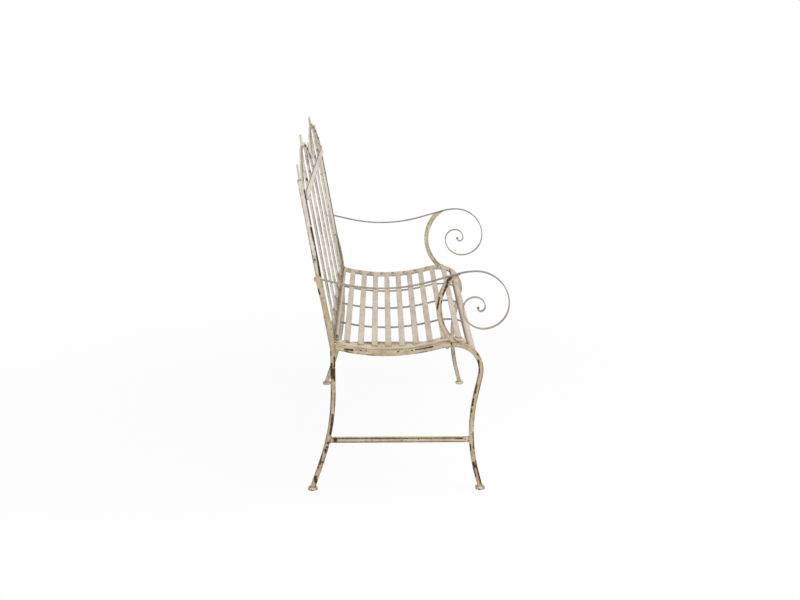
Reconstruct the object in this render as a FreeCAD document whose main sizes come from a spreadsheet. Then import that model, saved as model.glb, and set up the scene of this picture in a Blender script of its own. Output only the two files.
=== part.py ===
import FreeCAD, Part
import math
import os

from FreeCAD import Placement, Rotation, Vector

# A painted metal garden bench: two side frames bent from square bar, a slatted seat with a sag in it,
# scrolled strip arms, and a leaning back of thin bars under two arches.
# +X runs along the bench, -Y is the front, +Z is up, and the origin is on the floor below the middle
# of the whole bench. Lengths are millimetres and angles are degrees.

# Driving dimensions. A size that ends in _y is a distance behind the point midway between the feet
# in the side view, so a negative one is in front of it. A size that ends in _height is above the floor,
# and one that ends in _rise is above the seat's front crest.
SIZES = {
    # stock that the bench is made from
    "side_spacing": 1020.0,
    "bar_size": 14.0,
    "weld_gap": 0.1,
    # feet
    "foot_diameter": 29.0,
    "foot_height": 9.0,
    "foot_rounding": 3.0,
    # rear legs: splayed below, upright past the seat, leaning above it
    "rear_foot_y": 248.0,
    "rear_leg_y": 181.8,
    "rear_splay_height": 193.0,
    "rear_splay_radius": 680.0,
    "rear_lean_rise": 13.0,
    "rear_lean_radius": 450.0,
    "rear_leg_lean": 12.8,
    "rear_leg_overrun": 2.0,
    # front legs: a long S that rolls over into the seat
    "front_foot_y": -248.0,
    "front_knee_y": -204.0,
    "front_knee_height": 169.0,
    "front_knee_radius": 517.0,
    "front_flat": 7.7,
    "front_roll_radius": 76.0,
    "stretcher_height": 154.0,
    # seat line: the top of the side bars, lowest in the middle and cresting at the front
    "seat_low_y": 28.0,
    "seat_crest_y": -160.0,
    "seat_crest_height": 448.0,
    "seat_sag": 25.5,
    "seat_crest_share": 0.21,
    # seat panel: the rear and first slats are offset forwards from the rear legs, the last from the crest,
    # and all of them lie on two end plates that stand a little proud of the side bars;
    # the middle rod is shifted towards the right-hand side, and the other two with it
    "slat_width": 17.5,
    "slat_thickness": 3.0,
    "slat_end_gap": 26.0,
    "slat_count": 9,
    "rear_slat_width": 9.0,
    "rear_slat_offset": 9.3,
    "first_slat_offset": 39.0,
    "last_slat_offset": 19.2,
    "front_bar_width": 29.0,
    "front_bar_thickness": 6.5,
    "front_bar_angle": 37.0,
    "end_plate_width": 45.0,
    "end_plate_thickness": 4.5,
    "end_plate_raise": 2.8,
    "end_plate_rear_offset": 9.8,
    "end_plate_front_angle": 24.0,
    "cross_rod_size": 5.0,
    "cross_rod_spacing": 237.0,
    "cross_rod_shift": 16.0,
    # arms: a flat strip that dips, rises to a crest and winds into a scroll
    "arm_width": 12.0,
    "arm_thickness": 3.0,
    "arm_joint_rise": 187.0,
    "arm_dip_y": 26.5,
    "arm_dip": 45.0,
    "arm_dip_radius": 500.0,
    "arm_climb": 20.0,
    "arm_crest_radius": 180.0,
    "scroll_overhang": 161.0,
    "scroll_radius_1": 95.0,
    "scroll_radius_2": 73.0,
    "scroll_radius_3": 58.4,
    "scroll_radius_4": 34.4,
    "scroll_radius_5": 28.7,
    "scroll_radius_6": 12.9,
    "scroll_radius_7": 7.5,
    "scroll_curl_radius": 4.2,
    "scroll_curl_turn": 25.0,
    # bowed posts that carry the arms
    "support_lean": 4.7,
    "support_bow": 44.4,
    # back panel: its uprights start below the seat's crest;
    # a level is above their lower ends and a drop is below their tops
    "back_foot_depth": 28.0,
    "back_lean": 9.87,
    "back_rail_level": 28.0,
    "upright_length": 501.0,
    "upright_depth": 16.0,
    "band_drop": 46.0,
    "arch_drop": 27.0,
    "arch_rise": 94.0,
    "back_bar_size": 8.0,
    "back_bar_count": 5,
    "band_height": 27.0,
    "band_thickness": 4.0,
    "finial_length": 43.5,
    "apex_finial_length": 26.0,
    "finial_base_diameter": 9.6,
    "finial_tip_diameter": 6.2,
    "finial_rounding": 1.6,
    # fasteners
    "bolt_diameter": 5.0,
    "bolt_hole_diameter": 5.4,
    "bolt_head_diameter": 11.0,
    "bolt_head_height": 3.6,
    "nut_across_flats": 8.0,
    "nut_height": 4.0,
    "cap_height": 3.4,
    "arm_bolt_drop": 64.0,
    "back_bolt_level": 11.0,
}

doc = FreeCAD.newDocument("garden_bench")
sheet = doc.addObject("Spreadsheet::Sheet", "Sizes")
for row, (alias, value) in enumerate(SIZES.items(), start=1):
    sheet.set(f"A{row}", alias)
    sheet.set(f"B{row}", str(value))
    sheet.setAlias(f"B{row}", alias)
doc.recompute()

size = {alias: float(sheet.get(alias)) for alias in SIZES}
parts = []


# Bent bars in the side view

def direction(heading):
    """Unit vector in the side view: heading 0 points to the back, 90 straight up, 180 to the front."""
    angle = math.radians(heading)
    return Vector(0, math.cos(angle), math.sin(angle))


def heading_to(start, end):
    step = end - start
    return math.degrees(math.atan2(step.z, step.y))


class BarPath:
    """Centre line of a bent bar: straight runs and tangent arcs, laid one after another."""

    def __init__(self, start, heading):
        self.point = start
        self.heading = heading
        self.runs = []

    def station(self):
        return self.point, direction(self.heading + 90)

    def line(self, length):
        start = self.station()
        self.point = self.point + direction(self.heading) * length
        self.runs.append((start, self.station()))

    def arc(self, radius, turn):
        """Turn left by a positive angle and right by a negative one."""
        side = math.copysign(90, turn)
        centre = self.point + direction(self.heading + side) * radius
        stations = [self.station()]
        for _ in range(2):
            self.heading += turn / 2
            self.point = centre - direction(self.heading + side) * radius
            stations.append(self.station())
        self.runs.append(tuple(stations))

    def edges(self, offset):
        """The path moved sideways, to its left for a positive offset."""
        moved = []
        for run in self.runs:
            points = [point + left * offset for point, left in run]
            curve = Part.LineSegment(*points) if len(points) == 2 else Part.Arc(*points)
            moved.append(curve.toShape())
        return moved


def bent_path(corners, radii):
    """Straight runs from corner to corner, each inner corner rounded by its own radius."""
    path = BarPath(corners[0], heading_to(corners[0], corners[1]))
    for corner, following, radius in zip(corners[1:], corners[2:], radii):
        turn = (heading_to(corner, following) - path.heading + 180) % 360 - 180
        reach = radius * math.tan(math.radians(abs(turn)) / 2)
        path.line(path.point.distanceToPoint(corner) - reach)
        path.arc(radius, turn)
    path.line(path.point.distanceToPoint(corners[-1]))
    return path


def bent_bar(path, thickness, width, round_end=False):
    """Solid bar along a path, thickness in the side view and width across it."""
    left = path.edges(thickness / 2)
    right = path.edges(-thickness / 2)
    first, last = left[0].Vertexes[0].Point, left[-1].Vertexes[-1].Point
    first_right, last_right = right[0].Vertexes[0].Point, right[-1].Vertexes[-1].Point
    start_cap = Part.LineSegment(first, first_right).toShape()
    if round_end:
        nose = path.point + direction(path.heading) * (thickness / 2)
        end_cap = Part.Arc(last, nose, last_right).toShape()
    else:
        end_cap = Part.LineSegment(last, last_right).toShape()
    outline = Part.Wire(Part.__sortEdges__(left + [end_cap] + right + [start_cap]))
    return extruded(Part.Face(outline), width)


def extruded(face, width):
    face.translate(Vector(-width / 2, 0, 0))
    return face.extrude(Vector(width, 0, 0))


def side_prism(corners, width):
    """Solid with straight sides over corners in the side view."""
    return extruded(Part.Face(Part.makePolygon(corners + corners[:1])), width)


def side_point(y, z):
    return Vector(0, y, z)


def largest(shape):
    return max(shape.Solids, key=lambda solid: solid.Volume)


def cross_hole(at, diameter, length):
    """Round cutter along X through a point of the side view."""
    return Part.makeCylinder(diameter / 2, length, at - Vector(length / 2, 0, 0), Vector(1, 0, 0))


# The seat line

bar = size["bar_size"]
gap = size["weld_gap"]
side_x = size["side_spacing"] / 2
inner_x = side_x - bar / 2

crest_y = size["seat_crest_y"]
crest_height = size["seat_crest_height"]
low_height = crest_height - size["seat_sag"]
crest_run = size["seat_low_y"] - crest_y
seat_turn = 2 * math.degrees(math.atan(size["seat_sag"] / crest_run))
both_radii = crest_run / math.sin(math.radians(seat_turn))
crest_radius = both_radii * size["seat_crest_share"]
sag_radius = both_radii - crest_radius
sag_front_y = size["seat_low_y"] - sag_radius * math.sin(math.radians(seat_turn))

# In front of the crest the front legs roll over, and the seat follows the outside of that roll.
# The roll starts after a short flat and ends where it meets the leg's straight climb from the knee.
crest_middle = crest_height - bar / 2
roll_radius = size["front_roll_radius"]
outer_roll = roll_radius + bar / 2
roll_y = crest_y - size["front_flat"]
roll_height = crest_middle - roll_radius
roll_middle = side_point(roll_y, roll_height)
front_knee = side_point(size["front_knee_y"], size["front_knee_height"])
to_roll = front_knee.distanceToPoint(roll_middle)
roll_turn = heading_to(front_knee, roll_middle) + math.degrees(math.asin(roll_radius / to_roll))
front_shoulder = side_point(roll_y - roll_radius * math.tan(math.radians(roll_turn / 2)), crest_middle)


def seat_line(y):
    """Height and slope of the seat's top line at y."""
    if y > sag_front_y:
        slope = math.degrees(math.asin((y - size["seat_low_y"]) / sag_radius))
        height = low_height + sag_radius * (1 - math.cos(math.radians(slope)))
    elif y > crest_y:
        slope = -math.degrees(math.asin((y - crest_y) / crest_radius))
        height = crest_height - crest_radius * (1 - math.cos(math.radians(slope)))
    else:
        slope = math.degrees(math.asin(max(0.0, roll_y - y) / outer_roll))
        height = roll_height + outer_roll * math.cos(math.radians(slope))
    return height, slope


def seat_path(depth, rear_y, front_y):
    """The seat line from rear to front, moved down by depth."""
    height, slope = seat_line(rear_y)
    start = side_point(rear_y, height) - direction(slope + 90) * depth
    path = BarPath(start, 180 + slope)
    path.arc(sag_radius + depth, -(slope + seat_turn))
    left_over = max(0.0, front_y - crest_y)
    end_slope = math.degrees(math.asin(left_over / crest_radius))
    path.arc(crest_radius - depth, seat_turn - end_slope)
    if front_y < crest_y:
        path.line(crest_y - max(front_y, roll_y))
    if front_y < roll_y:
        path.arc(outer_roll - depth, math.degrees(math.asin((roll_y - front_y) / outer_roll)))
    return path


# Side frames

rear_leg_y = size["rear_leg_y"]
rear_lean_height = crest_height + size["rear_lean_rise"]
back_foot_height = crest_height - size["back_foot_depth"]
arm_joint_height = crest_height + size["arm_joint_rise"]
rear_leg_top_height = arm_joint_height + size["rear_leg_overrun"]


def rear_leg_line(height):
    """Where the leaning stretch of a rear leg is at a height."""
    climbed = height - rear_lean_height
    return rear_leg_y + climbed * math.tan(math.radians(size["rear_leg_lean"]))


def upright_line(height):
    """Where a back upright is at a height."""
    climbed = height - back_foot_height
    return rear_leg_y + climbed * math.tan(math.radians(size["back_lean"]))


arm_bolt_height = arm_joint_height - size["arm_bolt_drop"]
arm_bolt = side_point((rear_leg_line(arm_bolt_height) + upright_line(arm_bolt_height)) / 2, arm_bolt_height)
back_bolt_height = back_foot_height + size["back_bolt_level"]
back_bolt = side_point((rear_leg_y + upright_line(back_bolt_height)) / 2, back_bolt_height)
back_bolts = [arm_bolt, back_bolt]


def below(height):
    """Cutter for everything under a height."""
    reach = size["side_spacing"]
    low = [side_point(-reach, -reach), side_point(reach, -reach)]
    high = [side_point(reach, height), side_point(-reach, height)]
    return side_prism(low + high, reach)


def drilled(shape, points):
    for point in points:
        shape = shape.cut(cross_hole(point, size["bolt_hole_diameter"], size["side_spacing"]))
    return shape


def rear_leg_shape():
    path = bent_path(
        [
            side_point(size["rear_foot_y"], 0),
            side_point(rear_leg_y, size["rear_splay_height"]),
            side_point(rear_leg_y, rear_lean_height),
            side_point(rear_leg_line(rear_leg_top_height), rear_leg_top_height),
        ],
        [size["rear_splay_radius"], size["rear_lean_radius"]],
    )
    leg = bent_bar(path, bar, bar, round_end=True).cut(below(size["foot_height"]))
    return drilled(leg, back_bolts)


def front_leg_shape():
    path = bent_path(
        [
            side_point(size["front_foot_y"], 0),
            front_knee,
            front_shoulder,
            side_point(crest_y, crest_middle),
        ],
        [size["front_knee_radius"], roll_radius],
    )
    return bent_bar(path, bar, bar).cut(below(size["foot_height"]))


def stretcher_shape(rear_leg, front_leg):
    """Straight bar between the legs, its ends cut to the legs' faces."""
    low = size["stretcher_height"] - bar / 2
    high = size["stretcher_height"] + bar / 2
    front, rear = size["front_foot_y"], size["rear_foot_y"]
    blank = side_prism(
        [side_point(front, low), side_point(rear, low), side_point(rear, high), side_point(front, high)],
        bar,
    )
    return largest(blank.cut(rear_leg).cut(front_leg))


def side_bar_shape(rear_leg):
    """Upper seat bar of a side frame, from the rear leg to the front leg's roll."""
    path = seat_path(bar / 2, rear_leg_y, crest_y)
    return largest(bent_bar(path, bar, bar).cut(rear_leg))


def end_plate_shape():
    """Flat strip under the slat ends, welded to the inside of a side bar and of the front leg's roll."""
    depth = size["end_plate_thickness"] / 2 - size["end_plate_raise"]
    rear_y = rear_leg_y - size["end_plate_rear_offset"]
    front_y = roll_y - outer_roll * math.sin(math.radians(size["end_plate_front_angle"]))
    path = seat_path(depth, rear_y, front_y)
    return bent_bar(path, size["end_plate_thickness"], size["end_plate_width"])


# Arms

arm_joint = side_point(rear_leg_line(arm_joint_height), arm_joint_height)
arm_dip_corner = side_point(size["arm_dip_y"], arm_joint_height - size["arm_dip"])
arm_crest_radius = size["arm_crest_radius"]
scroll_front_y = crest_y - size["scroll_overhang"]
arm_crest_middle = side_point(
    scroll_front_y + size["scroll_radius_1"],
    arm_joint_height + size["arm_climb"] - arm_crest_radius,
)
to_arm_crest = arm_dip_corner.distanceToPoint(arm_crest_middle)
arm_crest_tilt = math.degrees(math.asin(arm_crest_radius / to_arm_crest))
arm_climb_heading = heading_to(arm_dip_corner, arm_crest_middle) % 360 - arm_crest_tilt
arm_climb_run = math.sqrt(to_arm_crest ** 2 - arm_crest_radius ** 2)
arm_crest_start = arm_dip_corner + direction(arm_climb_heading) * arm_climb_run


def arm_shape(rear_leg):
    """Strip from the rear leg through the dip to the crest, then quarter turns that tighten into a curl."""
    path = bent_path([arm_joint, arm_dip_corner, arm_crest_start], [size["arm_dip_radius"]])
    path.arc(arm_crest_radius, 180 - arm_climb_heading)
    for turn in range(1, 8):
        path.arc(size[f"scroll_radius_{turn}"], 90)
    path.arc(size["scroll_curl_radius"], size["scroll_curl_turn"])
    strip = bent_bar(path, size["arm_thickness"], size["arm_width"])
    return largest(strip.cut(rear_leg))


def arm_underside(y):
    """Point under the climbing stretch of the arm at y."""
    along = direction(arm_climb_heading)
    under = arm_crest_start + direction(arm_climb_heading + 90) * (size["arm_thickness"] / 2 + gap)
    return under + along * ((y - under.y) / along.y)


def arm_support_shape():
    """Bowed post from the seat's crest to the underside of the arm, its ends cut to both."""
    foot = side_point(roll_y, crest_height)
    head = arm_underside(roll_y + size["support_lean"])
    height = foot.distanceToPoint(head)
    half_turn = 2 * math.degrees(math.atan(size["support_bow"] / (height / 2)))
    radius = height / 2 / math.sin(math.radians(half_turn))
    heading = heading_to(foot, head) - half_turn
    path = BarPath(foot - direction(heading) * 2 * bar, heading)
    path.line(2 * bar)
    path.arc(radius, 2 * half_turn)
    path.line(2 * bar)
    over = direction(arm_climb_heading - 90) * height
    left = arm_underside(head.y + height)
    right = arm_underside(head.y - height)
    above_arm = side_prism([left, left + over, right + over, right], size["side_spacing"])
    post = bent_bar(path, bar, bar).cut(below(crest_height + gap)).cut(above_arm)
    return largest(post)


# Placing pieces in the bench

lean = math.radians(size["back_lean"])
upright_set_forward = (size["upright_depth"] - bar) / 2
rail_set_forward = size["upright_depth"] - bar
bar_set_forward = size["upright_depth"] - (bar + size["back_bar_size"]) / 2
band_level = size["upright_length"] - size["band_drop"]
arch_springing = size["upright_length"] - size["arch_drop"]
tip_level = arch_springing + size["arch_rise"] + size["back_bar_size"] / 2 + size["apex_finial_length"]
rearmost = (
    rear_leg_y
    + tip_level * math.sin(lean)
    + (size["finial_tip_diameter"] / 2 - bar_set_forward) * math.cos(lean)
)
frontmost = scroll_front_y - size["arm_thickness"] / 2
depth_shift = -(rearmost + frontmost) / 2
panel = Placement(
    Vector(0, rear_leg_y + depth_shift, back_foot_height),
    Rotation(Vector(1, 0, 0), -size["back_lean"]),
)
SIDES = {"right": -1, "left": 1}


def keep(piece, label):
    piece.Label = label
    parts.append(piece)
    return piece


def add_shape(label, shape, placement):
    piece = doc.addObject("Part::Feature", label)
    piece.Shape = shape
    piece.Placement = placement
    return keep(piece, label)


def at(x, y, z):
    return Placement(Vector(x, y + depth_shift, z), Rotation())


def new_box(label, length, width, height, placement):
    """Box with its sizes bound to the sheet, its middle below the placement's origin."""
    box = doc.addObject("Part::Box", label)
    box.setExpression("Length", length)
    box.setExpression("Width", width)
    box.setExpression("Height", height)
    doc.recompute()
    corner = Vector(-box.Length.Value / 2, -box.Width.Value / 2, -box.Height.Value)
    box.Placement = placement * Placement(corner, Rotation())
    return box


def cut_away(label, base, tool):
    piece = doc.addObject("Part::Cut", label)
    piece.Base = base
    piece.Tool = tool
    return keep(piece, label)


def on_panel(x, set_back, level):
    return panel * Placement(Vector(x, set_back, level), Rotation())


rear_leg = rear_leg_shape()
front_leg = front_leg_shape()
side_frame = {
    "rear_leg": rear_leg,
    "front_leg": front_leg,
    "stretcher": stretcher_shape(rear_leg, front_leg),
    "seat_side_bar": side_bar_shape(rear_leg),
    "arm": arm_shape(rear_leg),
    "arm_support": arm_support_shape(),
}
for side, sign in SIDES.items():
    for name, shape in side_frame.items():
        add_shape(f"{name}_{side}", shape, at(sign * side_x, 0, 0))
    end_plate_x = inner_x - gap - size["end_plate_width"] / 2
    add_shape(f"seat_end_plate_{side}", end_plate_shape(), at(sign * end_plate_x, 0, 0))


# Feet

def leg_foot_y(foot_y, corner_y, corner_height):
    """Where a leg's lowest straight run stands on its foot."""
    return foot_y + (corner_y - foot_y) * size["foot_height"] / corner_height


foot_places = {
    "rear": leg_foot_y(size["rear_foot_y"], rear_leg_y, size["rear_splay_height"]),
    "front": leg_foot_y(size["front_foot_y"], size["front_knee_y"], size["front_knee_height"]),
}
for side, sign in SIDES.items():
    for end, foot_y in foot_places.items():
        label = f"foot_{end}_{side}"
        disc = doc.addObject("Part::Cylinder", f"{label}_disc")
        disc.setExpression("Radius", "Sizes.foot_diameter / 2")
        disc.setExpression("Height", "Sizes.foot_height")
        disc.Placement = at(sign * side_x, foot_y, 0)
        doc.recompute()
        foot = doc.addObject("Part::Fillet", label)
        foot.Base = disc
        rounding = size["foot_rounding"]
        rims = [n for n, edge in enumerate(disc.Shape.Edges, start=1) if edge.isClosed()]
        foot.Edges = [(rim, rounding, rounding) for rim in rims]
        keep(foot, label)


# Seat slats

SLAT_LENGTH = "Sizes.side_spacing - Sizes.bar_size - 2 * Sizes.slat_end_gap"
FRONT_BAR_LENGTH = "Sizes.side_spacing - Sizes.bar_size - 2 * Sizes.weld_gap"
slat_top = size["end_plate_raise"] + gap + size["slat_thickness"]


def seat_place(y, rise):
    """Placement on the seat line at y, tilted with it and moved up by rise."""
    height, slope = seat_line(y)
    tilt = Rotation(Vector(1, 0, 0), slope)
    lifted = direction(slope + 90) * rise
    return Placement(Vector(0, y + depth_shift, height) + lifted, tilt)


def new_slat(label, y, width):
    place = seat_place(y, slat_top)
    return keep(new_box(label, SLAT_LENGTH, width, "Sizes.slat_thickness", place), label)


rear_slat_y = rear_leg_y - size["rear_slat_offset"]
first_slat_y = rear_leg_y - size["first_slat_offset"]
last_slat_y = crest_y - size["last_slat_offset"]
slat_count = int(size["slat_count"])
slat_pitch = (first_slat_y - last_slat_y) / (slat_count - 1)
new_slat("seat_slat_rear", rear_slat_y, "Sizes.rear_slat_width")
for number in range(slat_count):
    new_slat(f"seat_slat_{number + 1:02d}", first_slat_y - number * slat_pitch, "Sizes.slat_width")

# The front bar lies between the front legs' rolls, the edges of its top face level with their outsides.
roll_centre = Vector(0, roll_y + depth_shift, roll_height)
front_bar_reach = math.sqrt(outer_roll ** 2 - (size["front_bar_width"] / 2) ** 2)
front_tilt = Rotation(Vector(1, 0, 0), size["front_bar_angle"])
front_bar = new_box(
    "seat_front_bar",
    FRONT_BAR_LENGTH,
    "Sizes.front_bar_width",
    "Sizes.front_bar_thickness",
    Placement(roll_centre + front_tilt.multVec(Vector(0, 0, front_bar_reach)), front_tilt),
)
keep(front_bar, "seat_front_bar")

# Thin rods under the slats, from the rear slat to the rear edge of the front bar.
rod_depth = size["slat_thickness"] - slat_top + 2 * gap + size["cross_rod_size"] / 2
front_bar_half_angle = math.degrees(math.asin(size["front_bar_width"] / 2 / outer_roll))
rod_front_angle = size["front_bar_angle"] - front_bar_half_angle
rod_front_y = roll_y - outer_roll * math.sin(math.radians(rod_front_angle))
rod_path = seat_path(rod_depth, rear_slat_y, rod_front_y)
rod_shape = bent_bar(rod_path, size["cross_rod_size"], size["cross_rod_size"])
doc.recompute()
for number in (-1, 0, 1):
    rod = rod_shape.copy()
    rod_x = number * size["cross_rod_spacing"] - size["cross_rod_shift"]
    rod.translate(Vector(rod_x, depth_shift, 0))
    add_shape(f"seat_cross_rod_{number + 2}", largest(rod.cut(front_bar.Shape)), Placement())


# Back panel

upright_x = inner_x - gap - bar / 2
upright_front = size["upright_depth"] - bar / 2
panel_half = upright_x - bar / 2
for side, sign in SIDES.items():
    blank = new_box(
        f"upright_{side}_blank",
        "Sizes.bar_size",
        "Sizes.upright_depth",
        "Sizes.upright_length",
        on_panel(sign * upright_x, -upright_set_forward, size["upright_length"]),
    )
    holes = doc.addObject("Part::Feature", f"upright_{side}_holes")
    holes.Shape = Part.makeCompound(
        [cross_hole(point, size["bolt_hole_diameter"], 2 * bar) for point in back_bolts]
    )
    holes.Placement = at(sign * upright_x, 0, 0)
    cut_away(f"back_upright_{side}", blank, holes)

back_rail = new_box(
    "back_bottom_rail",
    "Sizes.side_spacing - 3 * Sizes.bar_size - 4 * Sizes.weld_gap",
    "Sizes.bar_size",
    "Sizes.bar_size",
    on_panel(0, -rail_set_forward, size["back_rail_level"] + bar / 2),
)
keep(back_rail, "back_bottom_rail")

back_band = new_box(
    "back_band",
    "Sizes.side_spacing - Sizes.bar_size - 2 * Sizes.weld_gap",
    "Sizes.band_thickness",
    "Sizes.band_height",
    on_panel(0, -upright_front - gap - size["band_thickness"] / 2, band_level + size["band_height"] / 2),
)
keep(back_band, "back_band")

# Each arch springs from the side of the middle bar and ends on the side of an upright.
thin = size["back_bar_size"]
arch_start = thin / 2 + gap
arch_end = panel_half - gap
arch_span = arch_end - arch_start
arch_radius = ((arch_span / 2) ** 2 + size["arch_rise"] ** 2) / (2 * size["arch_rise"])
arch_half_turn = math.degrees(math.asin(arch_span / 2 / arch_radius))


def arch_level(x):
    """Height of an arch's middle line on the panel, x from the middle of the bench."""
    off_apex = abs(x) - (arch_start + arch_end) / 2
    crown = arch_springing + size["arch_rise"]
    return crown - arch_radius + math.sqrt(arch_radius ** 2 - off_apex ** 2)


def arch_shape():
    path = BarPath(
        side_point(arch_start, arch_springing) - direction(arch_half_turn) * thin,
        arch_half_turn,
    )
    path.line(thin)
    path.arc(arch_radius, -2 * arch_half_turn)
    path.line(thin)
    foot, top = arch_springing - arch_span, arch_springing + arch_span
    clear = side_prism(
        [
            side_point(arch_start, foot),
            side_point(arch_end, foot),
            side_point(arch_end, top),
            side_point(arch_start, top),
        ],
        arch_span,
    )
    return bent_bar(path, thin, thin).common(clear).Solids[0]


arches = {}
for side, sign in SIDES.items():
    along_x = Placement(Vector(0, -bar_set_forward, 0), Rotation(Vector(0, 0, 1), -90 * sign))
    arches[side] = add_shape(f"back_arch_{side}", arch_shape(), panel * along_x)

bar_foot = size["back_rail_level"] + bar / 2
bar_count = int(size["back_bar_count"])
for number in range(1, bar_count + 1):
    x = upright_x * (2 * number / (bar_count + 1) - 1)
    label = f"back_bar_{number}"
    middle = abs(x) < thin
    top = size["upright_length"] if middle else arch_level(x)
    bar_blank = doc.addObject("Part::Box", f"{label}_blank" if not middle else label)
    bar_blank.setExpression("Length", "Sizes.back_bar_size")
    bar_blank.setExpression("Width", "Sizes.back_bar_size")
    bar_blank.Height = top - bar_foot - gap
    bar_blank.Placement = on_panel(x - thin / 2, -bar_set_forward - thin / 2, bar_foot + gap)
    if middle:
        keep(bar_blank, label)
    else:
        cut_away(label, bar_blank, arches["right" if x < 0 else "left"])


# Finials

apex_x = (arch_start + arch_end) / 2
apex_level = arch_springing + size["arch_rise"] + thin / 2 + gap
finials = {
    "finial_upright_right": (-upright_x, -upright_set_forward, size["upright_length"] + gap, "finial_length"),
    "finial_apex_right": (-apex_x, -bar_set_forward, apex_level, "apex_finial_length"),
    "finial_middle": (0, -bar_set_forward, size["upright_length"] + gap, "finial_length"),
    "finial_apex_left": (apex_x, -bar_set_forward, apex_level, "apex_finial_length"),
    "finial_upright_left": (upright_x, -upright_set_forward, size["upright_length"] + gap, "finial_length"),
}
for label, (x, set_back, level, length) in finials.items():
    spike = doc.addObject("Part::Cone", f"{label}_spike")
    spike.setExpression("Radius1", "Sizes.finial_base_diameter / 2")
    spike.setExpression("Radius2", "Sizes.finial_tip_diameter / 2")
    spike.setExpression("Height", f"Sizes.{length}")
    spike.Placement = on_panel(x, set_back, level)
    doc.recompute()
    tips = [
        n
        for n, edge in enumerate(spike.Shape.Edges, start=1)
        if edge.isClosed() and edge.Curve.Radius < size["finial_base_diameter"] / 2
    ]
    finial = doc.addObject("Part::Fillet", label)
    finial.Base = spike
    finial.Edges = [(tip, size["finial_rounding"], size["finial_rounding"]) for tip in tips]
    keep(finial, label)


# Fasteners, drawn along +X with the head's underside at x = 0

def turned(profile):
    """Solid turned about the X axis from (x, radius) corners."""
    points = [Vector(x, radius, 0) for x, radius in profile]
    face = Part.Face(Part.makePolygon(points + points[:1]))
    return face.revolve(Vector(), Vector(1, 0, 0), 360)


def bolt_shape(shank_length):
    """Round-headed bolt: a domed head and a plain shank."""
    rim = size["bolt_head_diameter"] / 2
    dome = (rim ** 2 + size["bolt_head_height"] ** 2) / (2 * size["bolt_head_height"])
    ball_centre = Vector(dome - size["bolt_head_height"], 0, 0)
    outside = Part.makeBox(2 * dome, 4 * dome, 4 * dome, Vector(-2 * dome, -2 * dome, -2 * dome))
    head = Part.makeSphere(dome, ball_centre).common(outside)
    shank = Part.makeCylinder(size["bolt_diameter"] / 2, shank_length, Vector(), Vector(1, 0, 0))
    return head.fuse(shank).removeSplitter().Solids[0]


def cap_nut_shape():
    """Hexagon nut with its seat at x = 0, closed by a tapered cap."""
    corner_radius = size["nut_across_flats"] / 2 / math.cos(math.radians(30))
    corners = [direction(60 * k) * corner_radius for k in range(6)]
    nut = Part.Face(Part.makePolygon(corners + corners[:1])).extrude(Vector(size["nut_height"], 0, 0))
    start = size["nut_height"]
    end = start + size["cap_height"]
    flat = size["nut_across_flats"] / 2
    cap = turned([(start, 0), (start, flat), (end, flat / 2), (end, 0)])
    bore = Part.makeCylinder(size["bolt_hole_diameter"] / 2, start + gap, Vector(), Vector(1, 0, 0))
    return nut.fuse(cap).cut(bore).removeSplitter().Solids[0]


def fastened(shape, x, points):
    """Copies of a right-hand fastener at points of the side view, and their mirror images on the left."""
    copies = []
    for sign in SIDES.values():
        facing = Rotation() if sign < 0 else Rotation(Vector(0, 0, 1), 180)
        for point in points:
            copy = shape.copy()
            copy.Placement = Placement(Vector(sign * x, point.y + depth_shift, point.z), facing)
            copies.append(copy)
    return Part.makeCompound(copies)


outer_x = side_x + bar / 2 + gap
upright_inner_x = panel_half - gap
back_shank = outer_x - upright_inner_x + size["nut_height"]
add_shape("back_bolts", fastened(bolt_shape(back_shank), outer_x, back_bolts), Placement())
add_shape("back_cap_nuts", fastened(cap_nut_shape(), upright_inner_x, back_bolts), Placement())


# Checking and writing the pieces

doc.recompute()
for item in doc.Objects:
    if "Invalid" in item.State or "Error" in item.State:
        raise RuntimeError(f"{item.Label} did not build")
for piece in parts:
    if piece.Shape.isNull() or not piece.Shape.isValid():
        raise RuntimeError(f"{piece.Label} has no valid shape")

os.makedirs("parts", exist_ok=True)
for piece in parts:
    piece.Shape.exportStep(f"parts/{piece.Label}.step")
whole = Part.makeCompound([piece.Shape for piece in parts]).BoundBox
print(f"{len(parts)} pieces, {whole.XLength:.1f} x {whole.YLength:.1f} x {whole.ZLength:.1f} mm")
print(f"middle of the box at x {whole.Center.x:.2f}, y {whole.Center.y:.2f}, lowest z {whole.ZMin:.2f}")
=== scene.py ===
# %% [markdown]
# A garden bench of painted metal bar.
# The solids of the bench come in finished and fixed. This lesson gives them what a solid model lacks:
# softened edges, the weld beads that hold the bars together, old cream paint with rust coming through,
# and the plain studio that the bench is seen in. Lengths are metres.

# %% Load the solids
import math
import random
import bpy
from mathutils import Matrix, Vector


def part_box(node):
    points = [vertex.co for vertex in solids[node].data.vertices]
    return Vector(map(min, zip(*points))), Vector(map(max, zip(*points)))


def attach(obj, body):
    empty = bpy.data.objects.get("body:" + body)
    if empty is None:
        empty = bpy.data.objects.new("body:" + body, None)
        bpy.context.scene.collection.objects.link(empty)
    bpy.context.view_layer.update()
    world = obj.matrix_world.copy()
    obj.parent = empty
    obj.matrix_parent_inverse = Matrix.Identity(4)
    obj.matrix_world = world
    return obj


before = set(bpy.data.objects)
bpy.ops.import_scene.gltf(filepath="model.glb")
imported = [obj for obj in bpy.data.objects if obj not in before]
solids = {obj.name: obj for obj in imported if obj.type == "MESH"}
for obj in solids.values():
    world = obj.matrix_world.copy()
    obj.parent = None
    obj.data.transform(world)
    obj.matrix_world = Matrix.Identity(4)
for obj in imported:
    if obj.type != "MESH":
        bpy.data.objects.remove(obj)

from types import SimpleNamespace

import bmesh
import bpy
from mathutils import Vector, noise

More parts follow.
